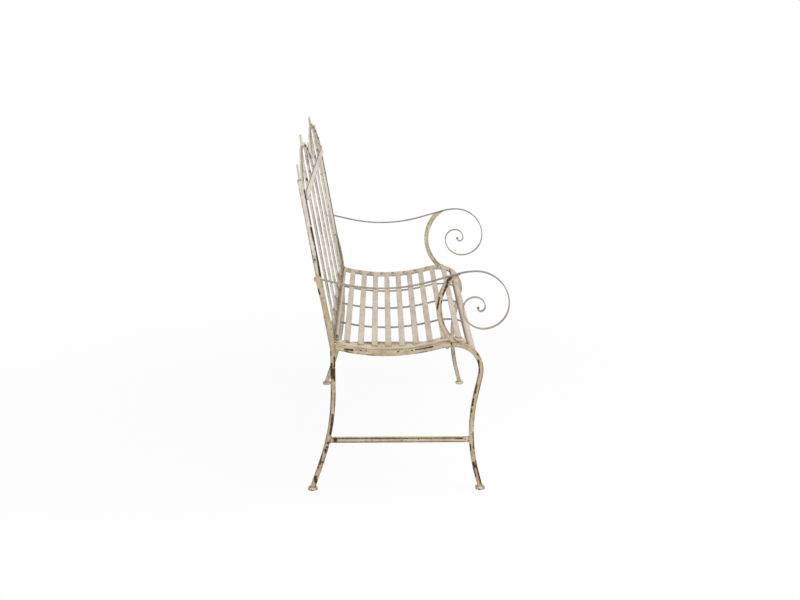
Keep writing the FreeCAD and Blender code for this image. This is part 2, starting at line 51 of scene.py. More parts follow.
scene = bpy.context.scene
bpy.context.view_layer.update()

# %% [markdown]
# The camera stands at one end of the bench, higher than its back, and looks along its length and a little
# down. It could be placed by eye, but the near and far side frames have the same shape, and their places in
# the picture fix its height, its tilt and its lens, so these are written down as numbers.

# %% Camera
CAMERA_PLACE = (-4.0845, 0.0637, 1.4580)
CAMERA_TILT = 0.2429
CAMERA_TURN = -0.0152
IMAGE_WIDTH = 800
FOCAL_PIXELS = 1300

camera_data = bpy.data.cameras.new("studio_camera")
camera_data.sensor_width = 36.0
camera_data.lens = camera_data.sensor_width * FOCAL_PIXELS / IMAGE_WIDTH
camera = bpy.data.objects.new("studio_camera", camera_data)
scene.collection.objects.link(camera)
looking = Vector((
    math.cos(CAMERA_TILT) * math.cos(CAMERA_TURN),
    math.cos(CAMERA_TILT) * math.sin(CAMERA_TURN),
    -math.sin(CAMERA_TILT),
))
camera.location = CAMERA_PLACE
camera.rotation_mode = "QUATERNION"
camera.rotation_quaternion = looking.to_track_quat("-Z", "Y")
scene.camera = camera
print("lens", round(camera_data.lens, 2), "mm")

# %% [markdown]
# A finish is a tree of shader nodes. Placing each node by hand hides the idea behind it, so a finish is
# written as sums instead: a Wire is one socket, and adding or multiplying wires adds Math nodes.

# %% Writing shader maths as Python
class Wire:
    """One output socket of a finish. Arithmetic on it adds Math nodes."""

    def __init__(self, finish, socket):
        self.finish = finish
        self.socket = socket

    def maths(self, operation, first, second, clamp=False):
        settings = {"operation": operation, "use_clamp": clamp}
        return self.finish.node("ShaderNodeMath", settings, {0: first, 1: second})

    def __add__(self, other):
        return self.maths("ADD", self, other)

    def __radd__(self, other):
        return self.maths("ADD", other, self)

    def __sub__(self, other):
        return self.maths("SUBTRACT", self, other)

    def __rsub__(self, other):
        return self.maths("SUBTRACT", other, self)

    def __mul__(self, other):
        return self.maths("MULTIPLY", self, other)

    def __rmul__(self, other):
        return self.maths("MULTIPLY", other, self)

    def lesser(self, other):
        return self.maths("MINIMUM", self, other)

    def greater(self, other):
        return self.maths("MAXIMUM", self, other)

    def clamped(self):
        return self.maths("ADD", self, 0.0, clamp=True)

    def step(self, low, high):
        """0 below low, 1 above high, and a smooth rise between them."""
        settings = {"interpolation_type": "SMOOTHSTEP"}
        return self.finish.node("ShaderNodeMapRange", settings, {0: self, 1: low, 2: high})


print("a wire can add, subtract, multiply, compare, clamp and step")

# %% [markdown]
# Colours and vectors would lose two of their three numbers in a Math node, so they go through Mix and Vector
# Math. These, and every other node, come from one method that takes the node's kind, its settings and what
# goes into its sockets. A colour Mix node's sockets go by number, because several of them share a name.

# %% Every other node
class Finish:
    """The nodes of a material, or of the sky."""

    def __init__(self, owner):
        owner.use_nodes = True
        self.owner = owner
        self.tree = owner.node_tree
        self.tree.nodes.clear()

    def node(self, kind, settings, sockets, output=0):
        made = self.tree.nodes.new(kind)
        for name, value in settings.items():
            setattr(made, name, value)
        for name, value in sockets.items():
            if isinstance(value, Wire):
                self.tree.links.new(value.socket, made.inputs[name])
            else:
                made.inputs[name].default_value = value
        return Wire(self, made.outputs[output]) if made.outputs else None

    def vector(self, operation, first, second):
        return self.node("ShaderNodeVectorMath", {"operation": operation}, {0: first, 1: second})

    def measure(self, operation, first, second):
        """One number from two vectors, such as the distance between them."""
        return self.node("ShaderNodeVectorMath", {"operation": operation}, {0: first, 1: second}, "Value")

    def blend(self, share, first, second):
        """Colour that goes from first to second as share goes from 0 to 1."""
        return self.node("ShaderNodeMix", {"data_type": "RGBA"}, {0: share, 6: first, 7: second}, 2)

    def cloud(self, place, scale, detail, roughness):
        sockets = {"Vector": place, "Scale": scale, "Detail": detail, "Roughness": roughness}
        return self.node("ShaderNodeTexNoise", {}, sockets)


def paint_chip(red, green, blue):
    """Shader colour from the numbers on a paint card, 0 to 255."""
    linear = []
    for part in (red, green, blue):
        share = part / 255
        linear.append(share / 12.92 if share <= 0.04045 else ((share + 0.055) / 1.055) ** 2.4)
    return (*linear, 1.0)


print("cream is", [round(v, 3) for v in paint_chip(226, 214, 190)])

# %% [markdown]
# The rust on the bench isn't even. It sits in seams along edges, in spots at welds and in patches where a
# bar was knocked. A painted mask image could hold that, but would need unwrapping; here each seam is a
# short line in space with a radius, and the mask is how far a point is from the nearest line. The same lines
# also lay painted shade and painted shadows, in the colours of rust. The fades below are in radii: where bare
# metal or a dark painted shadow ends, where the stain round it ends, and where a mere stain or painted shade
# ends.

# %% Seams of rust, and lines of painted shade
BARE_AND_SHADOW_FADE, HALO_FADE, STAIN_AND_SHADE_FADE = (0.7, 1.1), (0.9, 2.0), (0.3, 1.3)


def distance_to_marks(finish, place, seams_and_shadows, ragged):
    """Distance to the nearest seam or line of painted shade, in its radii, roughened by a ragged wire."""
    nearest = None
    for start, end, radius in seams_and_shadows:
        start, run = Vector(start), Vector(end) - Vector(start)
        if run.length > 0:
            from_start = finish.vector("SUBTRACT", place, tuple(start))
            along = finish.measure("DOT_PRODUCT", from_start, tuple(run / run.length_squared)).clamped()
            sockets = {0: tuple(run), "Scale": along}
            foot = finish.node("ShaderNodeVectorMath", {"operation": "SCALE"}, sockets)
            away = finish.measure("DISTANCE", from_start, foot)
        else:
            away = finish.measure("DISTANCE", place, tuple(start))
        away = away * (1 / radius)
        nearest = away if nearest is None else nearest.lesser(away)
    return nearest + ragged


print("rust stains out to", HALO_FADE[1], "radii from a seam")

# %% [markdown]
# The paint is cream that was brushed on long ago, and it is uneven at every size, from clouds as wide as a
# hand down to grit. One noise can't give that, so there are several, each with its own number of spots to
# the metre, its detail and its roughness, and one more that is stretched along the brush marks.

# %% Clouds in the paint
CLOUD_KINDS = {
    "drift": (7.0, 2.0, 0.55), "patch": (13.0, 3.0, 0.6), "cloudy": (38.0, 5.0, 0.65),
    "mottle": (120.0, 2.0, 0.5), "grit": (240.0, 3.0, 0.6), "fine": (620.0, 2.0, 0.55),
}
BRUSH_MARKS = (1.0, 4.0, 0.6)


def paint_clouds(finish, place, grain):
    """Every noise of a finish by its name. The grain is how close the brush marks are along each axis."""
    clouds = {kind: finish.cloud(place, *numbers) for kind, numbers in CLOUD_KINDS.items()}
    stretched = finish.vector("MULTIPLY", place, grain)
    return SimpleNamespace(brushed=finish.cloud(stretched, *BRUSH_MARKS), **clouds)


print(len(CLOUD_KINDS), "kinds of cloud, and brush marks")

# %% [markdown]
# Paint leaves the edges of a bar first. The mask for that could be painted by hand, but the Bevel node gives
# it for any shape: it compares the surface with a rounded copy of itself, and they differ only near an edge.
# Some edges have kept their paint, so the mask can be held to those that face the front, or to a low part.

# %% Worn edges
FRONTWARD, UP = (0, -1, 0), (0, 0, 1)
EDGE_SAMPLES = 8
EDGE_BEND, EDGE_FACING = (0.004, 0.045), (-0.02, 0.2)
KEPT_PAINT, KEPT_FADE = 0.75, 0.03


def worn_edge(finish, height, width, front_only, clean_above):
    """1 along the worn edges and 0 on the faces."""
    rounded = finish.node("ShaderNodeBevel", {"samples": EDGE_SAMPLES}, {"Radius": width})
    flat = finish.node("ShaderNodeNewGeometry", {}, {}, "True Normal")
    edge = (1 - finish.measure("DOT_PRODUCT", rounded, flat)).step(*EDGE_BEND)
    facing = finish.measure("DOT_PRODUCT", rounded, FRONTWARD).step(*EDGE_FACING)
    edge = edge * (1 - front_only + facing * front_only)
    if clean_above:
        edge = edge * (1 - KEPT_PAINT * height.step(clean_above - KEPT_FADE, clean_above + KEPT_FADE))
    return edge


print("high edges keep", KEPT_PAINT, "of their paint")

# %% [markdown]
# Rust also comes through in small round pits. They could be seams without a length, but there are too many.
# A Voronoi texture cuts space into cells, each with a middle and a random colour, and a pit is a spot round
# the middle of the few cells whose colour is high.

# %% Rust pits
PIT_CELLS = 95.0
PIT_PICK, PIT_RIM = (0.93, 0.94), (0.14, 0.24)


def rust_pits(finish, place):
    """1 in a pit and 0 elsewhere."""
    cells = {"Vector": place, "Scale": PIT_CELLS}
    from_middle = finish.node("ShaderNodeTexVoronoi", {}, cells, "Distance")
    cell_colour = finish.node("ShaderNodeTexVoronoi", {}, cells, "Color")
    pick = finish.node("ShaderNodeSeparateColor", {}, {0: cell_colour})
    return pick.step(*PIT_PICK) * (1 - from_middle.step(*PIT_RIM))


print("a pit in about one cell of", round(1 / (1 - PIT_PICK[0])))

# %% [markdown]
# The coat of paint is tan where it is thin, darker where dirt has settled and brown along the edges, and
# low down on the arms it is paler, a painted highlight. The first three are colours laid one over the last,
# with clouds for a stencil, in the order in which they came to the real bench, and the painted highlight goes
# over them by height.

# %% The coat of paint
EDGE_BROWN = paint_chip(98, 80, 59)
HIGHLIGHT_CREAM, HIGHLIGHT_SHARE = paint_chip(218, 208, 186), 0.35
DIRT_SHARE = 0.5


def coat_of_paint(finish, clouds, edge, height, pale, worn, dirt, edge_stain, highlight_below):
    """Colour of the paint, before rust."""
    thin = clouds.cloudy * 0.5 + clouds.brushed * 0.5 + clouds.drift * 0.3 + clouds.mottle * 0.4
    paint = finish.blend(thin.step(0.62, 1.04), paint_chip(*pale), paint_chip(*worn))
    dirty = clouds.drift * 0.6 + clouds.brushed * 0.3
    dirty = dirty + (clouds.mottle - 0.5) * 0.5 + (clouds.grit - 0.5) * 0.2
    paint = finish.blend(dirty.step(0.44, 0.68) * DIRT_SHARE, paint, paint_chip(*dirt))
    browned = (clouds.cloudy * 0.7 + clouds.patch * 0.7 + clouds.mottle * 0.4).step(0.66, 1.0)
    paint = finish.blend(edge * edge_stain * browned, paint, EDGE_BROWN)
    # Paler below the given height: a painted highlight on the low part of the arm.
    if highlight_below:
        painted_highlight = 1 - height.step(highlight_below - 0.05, highlight_below + 0.04)
        paint = finish.blend(painted_highlight * HIGHLIGHT_SHARE, paint, HIGHLIGHT_CREAM)
    return paint


print("edge brown is", [round(v, 3) for v in EDGE_BROWN])

# %% [markdown]
# Rust is two masks. Bare metal shows where an edge is chipped, along a seam and in a pit, and a weaker brown
# stain spreads a little further. One mask could serve for both with a softer rim, but on the real bench the
# chips are crisp and the stains are not. Seams and stains that stand for shade go into the same two masks, so
# the dark one also holds painted shadows and the brown one painted shade.

# %% Stains and bare metal, with painted shade
HALO_SHARE, STAIN_AND_SHADE_SHARE, PIT_SHARE = 0.6, 0.65, 0.85


def rust_and_shade_masks(finish, clouds, place, edge, chipped, patchy, seams_and_shadows, stains_and_shade):
    """How stained the paint is, with painted shade, and where the metal is bare or a dark painted shadow
    lies.
    """
    chipping = edge * chipped + (clouds.patch - 0.5) * patchy + (clouds.grit - 0.5) * 0.7
    bare_and_shadow = chipping.step(0.5, 0.58)
    stain_and_shade = chipping.step(0.2, 0.55) * HALO_SHARE
    if seams_and_shadows:
        ragged = (clouds.grit - 0.5) * 1.6 + (clouds.mottle - 0.5) * 1.8
        from_seam_and_shadow = distance_to_marks(finish, place, seams_and_shadows, ragged)
        bare_and_shadow = bare_and_shadow.greater(1 - from_seam_and_shadow.step(*BARE_AND_SHADOW_FADE))
        stain_and_shade = stain_and_shade.greater((1 - from_seam_and_shadow.step(*HALO_FADE)) * HALO_SHARE)
    if stains_and_shade:
        ragged = (clouds.mottle - 0.5) * 1.2 + (clouds.cloudy - 0.5) * 1.2
        from_stain_and_shade = distance_to_marks(finish, place, stains_and_shade, ragged)
        stain_and_shade = stain_and_shade.greater((1 - from_stain_and_shade.step(*STAIN_AND_SHADE_FADE)) * STAIN_AND_SHADE_SHARE)
    return stain_and_shade, bare_and_shadow.greater(rust_pits(finish, place) * PIT_SHARE)


print("a stain hides", STAIN_AND_SHADE_SHARE, "of the paint")

# %% [markdown]
# A whole finish is the coat with its stains, and bare metal where the paint is gone; both also carry painted
# shade where the seams and stains stand for it. The paint is matt and the metal still rougher. The same
# clouds raise the surface a little, and the chips lie lower than the paint round them: that is too fine for
# the mesh, so it is a bump.

# %% Old paint over rusty metal
BARE_METAL_AND_SHADOW = paint_chip(44, 34, 25)
RUST_AND_SHADE_BROWN = paint_chip(98, 72, 48)
MATT, PAINT_GLOSS = 0.62, 0.3
BUMP_STRENGTH, BUMP_HEIGHT = 0.45, 0.0007


def old_paint(name, pale, worn, dirt, grain, chipped, patchy, edge_width, edge_stain, front_only=0.0,
              clean_above=None, highlight_below=None, seams_and_shadows=(), stains_and_shade=()):
    """Cloudy paint from pale to worn, with dirt in patches, stretched along grain, and worn edges."""
    finish = Finish(bpy.data.materials.new(name))
    place = finish.node("ShaderNodeTexCoord", {}, {}, "Object")
    height = finish.measure("DOT_PRODUCT", place, UP)
    clouds = paint_clouds(finish, place, grain)
    edge = worn_edge(finish, height, edge_width, front_only, clean_above)
    paint = coat_of_paint(finish, clouds, edge, height, pale, worn, dirt, edge_stain, highlight_below)
    stain_and_shade, bare_and_shadow = rust_and_shade_masks(finish, clouds, place, edge, chipped, patchy, seams_and_shadows, stains_and_shade)

    # Brown over the paint: rust stains, and painted shade where a stain stands for shade.
    paint = finish.blend(stain_and_shade, paint, RUST_AND_SHADE_BROWN)
    # Dark metal where the paint is gone, and a painted shadow where a seam stands for one.
    rust_and_shadow = finish.blend(clouds.grit.step(0.35, 0.7), BARE_METAL_AND_SHADOW, RUST_AND_SHADE_BROWN)
    relief = clouds.cloudy * 0.5 + clouds.brushed * 0.3 + clouds.mottle * 0.3 + clouds.fine * 0.25
    relief = relief - bare_and_shadow * 0.9 + bare_and_shadow * clouds.grit * 0.6
    raised = {"Strength": BUMP_STRENGTH, "Distance": BUMP_HEIGHT, "Height": relief}
    surface = finish.node("ShaderNodeBsdfPrincipled", {}, {
        "Base Color": finish.blend(bare_and_shadow, paint, rust_and_shadow),
        "Roughness": MATT + (clouds.cloudy - 0.5) * 0.25 + bare_and_shadow * 0.25,
        "Normal": finish.node("ShaderNodeBump", {}, raised),
        "Specular IOR Level": PAINT_GLOSS,
    })
    finish.node("ShaderNodeOutputMaterial", {}, {0: surface})
    return finish.owner


print("paint over", [round(v, 3) for v in BARE_METAL_AND_SHADOW])

# %% [markdown]
# The side frame nearest the camera shows its rust best: long seams on the corners of the legs, spots on the
# seat's side bar and lines along the stretcher. Noise alone would put them anywhere, so each is written as a
# row: where it starts and ends in the side view, and its radius, in millimetres.

# %% Where the side frames have rusted, with painted shadow on the far one
OUTER_FACE, UPRIGHT_FACE, FAR_INNER_FACE = -0.517, -0.5029, 0.503


def on_face(x, rows):
    """Seams in millimetres on an upright plane, as lines in space."""
    return [((x, y0 / 1000, z0 / 1000), (x, y1 / 1000, z1 / 1000), r / 1000) for y0, z0, y1, z1, r in rows]


leg_seams = on_face(OUTER_FACE, [
    (201, 366, 201, 348, 6.8), (196, 405, 196, 380, 3.0), (208, 421, 208, 413, 2.6),
    (206, 386, 206, 374, 3.0), (196, 350, 196, 338, 3.0), (208, 305, 211, 256, 2.2),
    (212, 253, 214, 232, 3.2), (204, 232, 211, 174, 3.0), (219, 147, 219, 147, 3.0),
    (222, 134, 222, 134, 3.2), (225, 126, 226, 119, 3.2), (238, 112, 243, 86, 2.6),
    (244, 84, 244, 84, 3.2), (248, 72, 248, 72, 2.6), (235, 88, 235, 88, 2.6),
    (258, 42, 254, 24, 4.5), (240, 606, 236, 592, 2.0),
    (-214, 414, -214, 414, 3.4), (-215, 395, -218, 358, 2.2),
    (-223, 410, -229, 394, 1.8), (-210, 321, -206, 297, 2.8),
    (-202, 278, -200, 260, 2.6), (-198, 248, -197, 239, 2.0),
    (-205, 178, -206, 129, 2.4), (-194, 140, -196, 122, 2.0),
    (-202, 82, -211, 40, 2.8), (-212, 87, -229, 18, 2.9), (-205, 81, -209, 71, 3.4),
])
rail_seams = on_face(OUTER_FACE, [
    (166, 429, 146, 427, 2.7), (121, 427, 121, 427, 2.5), (106, 426, 106, 426, 2.3),
    (15, 423, 15, 423, 2.4), (-25, 426, -25, 426, 2.0), (-36, 428, -59, 432, 1.9),
    (-59, 432, -82, 436, 2.5), (104, 412, 81, 410, 1.7), (164, 423, 144, 417, 1.6),
    (-131, 432, -131, 432, 2.8), (-138, 453, -138, 445, 3.0), (197, 162, 197, 149, 5.0),
    (-153, 159, -171, 159, 1.9), (189, 161, -174, 161, 1.9), (190, 148, -177, 147, 2.2),
])
post_seams = on_face(OUTER_FACE, [
    (-134, 638, -124, 629, 3.4), (-125, 625, -120, 608, 3.3),
    (-120, 608, -112, 589, 2.3), (-102, 580, -96, 547, 1.9),
    (-108, 570, -109, 528, 1.7), (-110, 523, -114, 506, 1.5), (-114, 506, -134, 472, 1.7),
])
upright_seams = on_face(UPRIGHT_FACE, [
    (275, 886, 258, 788, 1.7), (258, 779, 250, 739, 2.7), (250, 739, 242, 696, 1.9),
    (242, 696, 235, 641, 2.8), (249, 687, 249, 687, 2.5),
])
# The spots on the far frame's inner face, where the slats meet it, are rust with the slats' painted shadow.
far_rust_and_shadow = on_face(FAR_INNER_FACE, [
    (-181, 434, -181, 434, 3.6), (-187, 428, -189, 425, 3.6), (31, 418, 31, 418, 2.6),
    (-10, 420, -10, 420, 2.6), (-50, 421, -50, 421, 2.6), (-95, 432, -95, 432, 2.6),
])
print(len(leg_seams) + len(rail_seams) + len(post_seams) + len(upright_seams), "seams on the near side")

# %% [markdown]
# The seat is darker in several places. On the far end plate the gaps between the slats are darkened, rust
# with the slats' painted shadow; the rear slat's rear edge and the front bar's rear edge carry painted shade,
# and at the rear corner nearest the camera the slats carry a painted shadow of the back and the plate a dark
# patch. The slats' own places give the gaps between them, so nothing has to be measured twice.

# %% Painted shade and rust on the seat
# The gap marks on the far end plate are painted shadow of the slats, mixed with rust.
GAP_INNER, GAP_OUTER, GAP_SLANT, GAP_SHADOW_AND_RUST = 0.466, 0.496, 0.003, 0.0065
# A dark patch on the plate at the rear corner nearest the camera.
CORNER_DARK = ((-0.492, 0.192, 0.449), (-0.492, 0.178, 0.446), 0.0075)
CORNER_RUST = ((-0.449, 0.1972, 0.448), (-0.433, 0.1972, 0.448), 0.0095)
# Painted shadow of the back on the slats at the rear corner nearest the camera.
SLAT_CORNER_SHADOW = [
    ((-0.477, 0.189, 0.447), (-0.440, 0.189, 0.447), 0.0090),
    ((-0.477, 0.160, 0.441), (-0.462, 0.160, 0.441), 0.0080),
]
# Painted shade along the rear edge of the rear slat and of the front bar.
REAR_EDGE_SHADE, REAR_HALF, REAR_OUT = 0.0050, 0.47, 0.001
FRONT_BAR_SHADE, FRONT_HALF = 0.0115, 0.5

slat_nodes = ["seat_slat_rear"] + [f"seat_slat_{number:02d}" for number in range(1, 10)]
slat_boxes = [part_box(node) for node in slat_nodes]
plate_shadow_and_dark = []
for (behind_low, _), (before_low, before_high) in zip(slat_boxes, slat_boxes[1:]):
    gap_y = (behind_low.y + before_high.y) / 2
    gap_z = (behind_low.z + before_low.z) / 2
    plate_shadow_and_dark.append(((GAP_INNER, gap_y, gap_z), (GAP_OUTER, gap_y - GAP_SLANT, gap_z), GAP_SHADOW_AND_RUST))
plate_shadow_and_dark.append(CORNER_DARK)
slat_seams = [CORNER_RUST]
rear_edge = slat_boxes[0][1]
rear_ends = [(sign * REAR_HALF, rear_edge.y + REAR_OUT, rear_edge.z) for sign in (-1, 1)]
slat_shade = [(*rear_ends, REAR_EDGE_SHADE)] + SLAT_CORNER_SHADOW
bar_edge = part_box("seat_front_bar")[1]
front_ends = [(sign * FRONT_HALF, bar_edge.y, bar_edge.z) for sign in (-1, 1)]
front_bar_shade_lines = [(*front_ends, FRONT_BAR_SHADE)]
print(len(plate_shadow_and_dark), "patches on the plates")

# %% [markdown]
# The feet stand in the wet, so the paint has gone from the rims and from the ring where the leg stands.
# A few short seams on the side away from the bench and a stain each side of the leg are enough at this
# size. Each rim spot is a share of the foot's radius along the frame and outwards, and of its height.

# %% Rust on the feet
RIM_SPOTS = ((-0.8, 0.55, 0.3), (0.2, 0.9, 0.25), (0.75, 0.6, 0.35))
RING_SPOTS = ((-0.5, 0.55, 1.0), (0.5, 0.55, 1.0))
RIM_RUST, RING_DIRT = 0.0026, 0.0050

foot_seams, foot_stains = [], []
for node in ("foot_rear_right", "foot_front_right", "foot_rear_left", "foot_front_left"):
    low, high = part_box(node)
    middle, rim = (low + high) / 2, (high.y - low.y) / 2
    outward = 1 if middle.x > 0 else -1
    for spots, rows, radius in ((RIM_SPOTS, foot_seams, RIM_RUST), (RING_SPOTS, foot_stains, RING_DIRT)):
        for side, reach, level in spots:
            spot = Vector((middle.x + outward * rim * reach, middle.y + rim * side, high.z * level))
            rows.append((spot, spot, radius))
print(len(foot_seams), "spots on the feet")

# %% [markdown]
# The back leans, so a point on it is awkward to give by height and depth. It is easier in the panel's own
# flat frame: a place along the bench, a depth into the panel and a level up it.

# %% The frame of the back panel
PANEL_FOOT = Vector((0.0, 0.2018, 0.420))
PANEL_LEAN = math.radians(9.87)
PANEL_INWARD = Vector((0, math.cos(PANEL_LEAN), -math.sin(PANEL_LEAN)))
PANEL_UPWARD = Vector((0, math.sin(PANEL_LEAN), math.cos(PANEL_LEAN)))
BACK_FRONT, BARS_REAR = -0.009, -0.001
UPRIGHT_INNER = 0.4889


def on_panel(x, depth, level):
    """A point of the panel, in the frame of the whole bench."""
    return PANEL_FOOT + Vector((x, 0, 0)) + PANEL_INWARD * depth + PANEL_UPWARD * level


print("half way up the panel is", [round(v, 3) for v in on_panel(0, 0, 0.25)])

# %% [markdown]
# On the back, the bars are darkest where they cross the flat band, just below the band and just above it:
# rust at the welds, with painted shadow of the band. Each bar has a smaller spot where it meets its arch. The
# middle bar has no arch above it. The band itself has only a thin brown line of painted shade along both of
# its edges.

# %% Rust and painted shade on the bars and the band
BAR_PLACES = [-0.3306, -0.1653, 0.0, 0.1653, 0.3306]
BAR_HALF = 0.004
BAND_LEVEL, BAND_HALF, BAND_THICK, BAND_REACH = 0.455, 0.0135, 0.004, 0.5
BAND_EDGES = (BAND_LEVEL - BAND_HALF, BAND_LEVEL + BAND_HALF)
# The spots where the bars cross the band are rust with painted shadow of the band.
CROSSING_LEVELS = (BAND_EDGES[0] - 0.0045, BAND_EDGES[1] + 0.0075)
CROSSING_LEFT, CROSSING_RIGHT, CROSSING_RUST_AND_SHADOW = 0.004, 0.002, 0.0042
ARCH_LEVEL, ARCH_SPOT_LEFT, ARCH_SPOT = 0.554, 0.003, 0.0034
# Painted shade along both edges of the band.
BAND_EDGE_SHADE = 0.0022

bar_rust_and_shadow = []
for x in BAR_PLACES:
    for level in CROSSING_LEVELS:
        left = on_panel(x - CROSSING_LEFT, BACK_FRONT, level)
        right = on_panel(x + CROSSING_RIGHT, BACK_FRONT, level)
        bar_rust_and_shadow.append((left, right, CROSSING_RUST_AND_SHADOW))
    if x:
        spot = on_panel(x - ARCH_SPOT_LEFT, BACK_FRONT, ARCH_LEVEL)
        bar_rust_and_shadow.append((spot, spot, ARCH_SPOT))
band_edge_shade_lines = []
for level in BAND_EDGES:
    ends = [on_panel(sign * BAND_REACH, BACK_FRONT - BAND_THICK, level) for sign in (-1, 1)]
    band_edge_shade_lines.append((*ends, BAND_EDGE_SHADE))
print(len(bar_rust_and_shadow), "spots on the bars")

# %% [markdown]
# Each arch is part of a circle, so its rise and its span give its radius, and a point on it needs only a
# share of the span. Short seams lie under its front edge in a dashed line. The half of each arch that is
# nearer the camera also has painted shade along its upper edge.

# %% Rust and painted shade on the arches
ARCH_START, ARCH_SPRING, ARCH_RISE = 0.004, 0.474, 0.094
ARCH_DASHES, DASH_SPAN, DASH_START, DASH_END, DASH_RUST = range(-4, 4), 4.4, 0.2, 0.8, 0.0019
NEAR_HALVES = ((-1, 0.15, 0.95), (1, -0.95, -0.15))
# Painted shade along the upper edge of the near half of each arch.
STAIN_PIECES, ARCH_EDGE_SHADE = 4, 0.0046
arch_half = (UPRIGHT_INNER - ARCH_START) / 2
arch_radius = (arch_half ** 2 + ARCH_RISE ** 2) / (2 * ARCH_RISE)


def on_arch(sign, across, lift):
    """A point on the front of an arch, from -1 at the middle of the bench to 1 at the upright."""
    run = arch_half * across
    level = ARCH_SPRING + ARCH_RISE - arch_radius + math.sqrt(arch_radius ** 2 - run ** 2)
    return on_panel(sign * (ARCH_START + arch_half + run), BACK_FRONT, level + lift)


arch_seams = []
for sign in (-1, 1):
    for dash in ARCH_DASHES:
        shares = [(dash + part) / DASH_SPAN for part in (DASH_START, DASH_END)]
        arch_seams.append((*[on_arch(sign, share, -BAR_HALF) for share in shares], DASH_RUST))
arch_shade_lines = []
for sign, first, last in NEAR_HALVES:
    shares = [first + (last - first) * number / STAIN_PIECES for number in range(STAIN_PIECES + 1)]
    places = [on_arch(sign, share, BAR_HALF) for share in shares]
    arch_shade_lines += [(start, end, ARCH_EDGE_SHADE) for start, end in zip(places, places[1:])]
print(len(arch_seams), "seams and", len(arch_shade_lines), "stains on the arches, radius", round(arch_radius, 3))

# %% [markdown]
# Two more marks catch the eye on the back: a dark line down the front edge of the far upright, and two dark
# places on the bottom rail, one near the camera and one in the middle.

# %% Rust on the far upright and the bottom rail
FAR_EDGE_LOW, FAR_EDGE_HIGH, FAR_EDGE_RUST = 0.03, 0.45, 0.0020
RAIL_RUST_PLACES, RAIL_RUST = ((-0.441, 0.030), (0.0, 0.034)), 0.0075

far_edge = [on_panel(UPRIGHT_INNER, BACK_FRONT, level) for level in (FAR_EDGE_LOW, FAR_EDGE_HIGH)]
upright_seams.append((*far_edge, FAR_EDGE_RUST))
back_rail_seams = []
for x, level in RAIL_RUST_PLACES:
    spot = on_panel(x, BACK_FRONT, level)
    back_rail_seams.append((spot, spot, RAIL_RUST))
print(len(upright_seams), "seams on the uprights,", len(back_rail_seams), "on the bottom rail")

# %% [markdown]
# Each group of pieces has its own finish: the side frames are tan and dark along their edges, the arms and
# rods are grey, the slats are dull from use, and the back is the whitest. The rods' grey is painted shade,
# the shadow under the slats, and the arms' grey is partly painted shade; the back's bottom rail is dark with
# dirt and painted shade. One finish could not do for all, but one function can. A row has three paints, from
# the palest to the dirtiest, on a card from 0 to 255, then how close the brush marks are along each axis, how
# chipped the edges are, how patchy the wear is, how wide the worn edge is and how brown, and how much of the
# wear keeps to the edges that face the front. Where a row has a height, the edges are clean above it or the
# paint is paler below it, a painted highlight.

